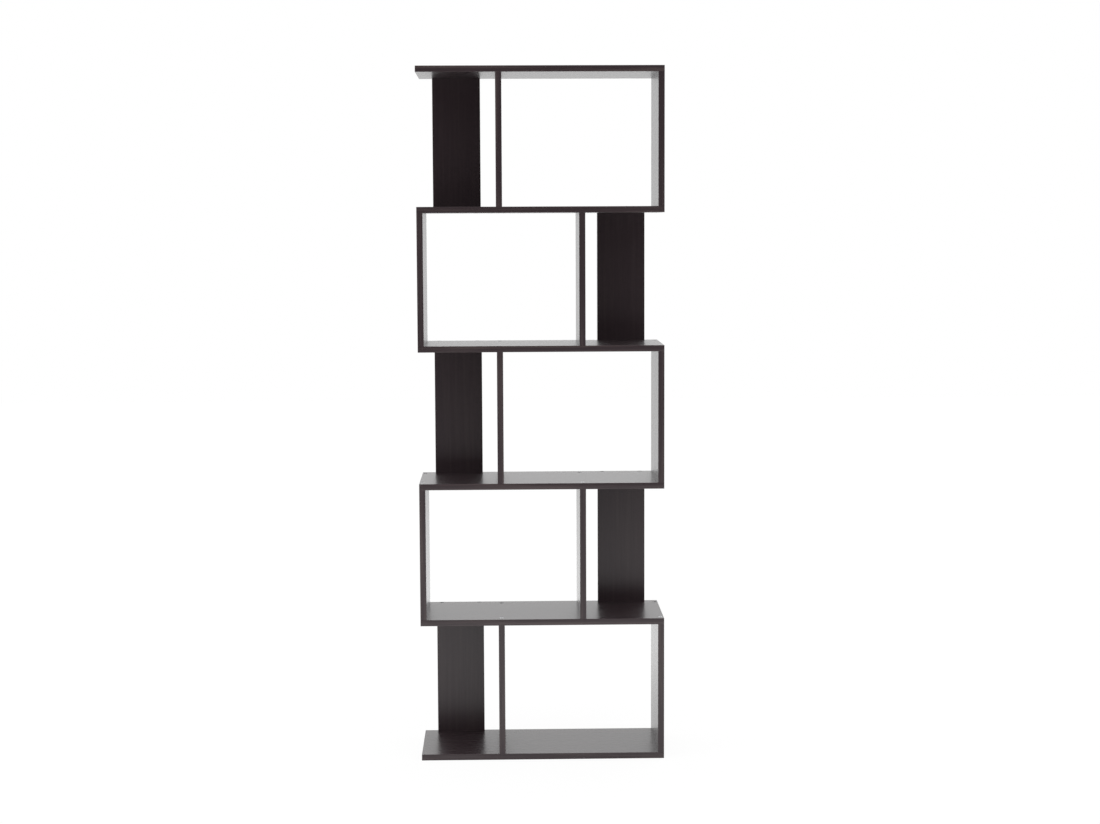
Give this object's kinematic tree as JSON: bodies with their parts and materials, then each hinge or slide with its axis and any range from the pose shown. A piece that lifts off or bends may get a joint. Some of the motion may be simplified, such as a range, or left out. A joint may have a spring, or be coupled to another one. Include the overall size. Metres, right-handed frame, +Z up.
{
  "type": "bookcase",
  "caption": "Tall open zig-zag bookcase: tiers closed at alternate ends, each with a divider and a narrow back panel.",
  "frame": {"origin": "on the floor, under the middle of the base board", "axes": "+Z up, -Y towards someone who faces the front, +X to their right"},
  "size_m": [0.6, 0.24, 1.7],
  "materials": {
    "melamine_board": "dark brown wood-grain melamine film on particle board, satin",
    "edging": "glued plastic edging in the same dark brown, satin, arrises eased",
    "zinc_screw": "bright zinc-plated steel",
    "beech_dowel": "bare beech, grooved"
  },
  "bodies": {
    "root": {"top_board": "melamine_board", "shelf_1": "melamine_board", "shelf_2": "melamine_board", "shelf_3": "melamine_board", "shelf_4": "melamine_board", "base_board": "melamine_board", "side_panel_1": "melamine_board", "divider_1": "melamine_board", "back_panel_1": "melamine_board", "side_panel_2": "melamine_board", "divider_2": "melamine_board", "back_panel_2": "melamine_board", "side_panel_3": "melamine_board", "divider_3": "melamine_board", "back_panel_3": "melamine_board", "side_panel_4": "melamine_board", "divider_4": "melamine_board", "back_panel_4": "melamine_board", "side_panel_5": "melamine_board", "divider_5": "melamine_board", "back_panel_5": "melamine_board", "top_board_edging": "edging", "shelf_1_edging": "edging", "shelf_2_edging": "edging", "shelf_3_edging": "edging", "shelf_4_edging": "edging", "base_board_edging": "edging", "side_panel_1_edging": "edging", "divider_1_edging": "edging", "back_panel_1_edging": "edging", "side_panel_2_edging": "edging", "divider_2_edging": "edging", "back_panel_2_edging": "edging", "side_panel_3_edging": "edging", "divider_3_edging": "edging", "back_panel_3_edging": "edging", "side_panel_4_edging": "edging", "divider_4_edging": "edging", "back_panel_4_edging": "edging", "side_panel_5_edging": "edging", "divider_5_edging": "edging", "back_panel_5_edging": "edging", "tier_1_screws": "zinc_screw", "tier_2_screws": "zinc_screw", "tier_3_screws": "zinc_screw", "tier_4_screws": "zinc_screw", "tier_5_screws": "zinc_screw", "tier_1_dowels": "beech_dowel", "tier_2_dowels": "beech_dowel", "tier_3_dowels": "beech_dowel", "tier_4_dowels": "beech_dowel", "tier_5_dowels": "beech_dowel"}
  },
  "joints": []
}
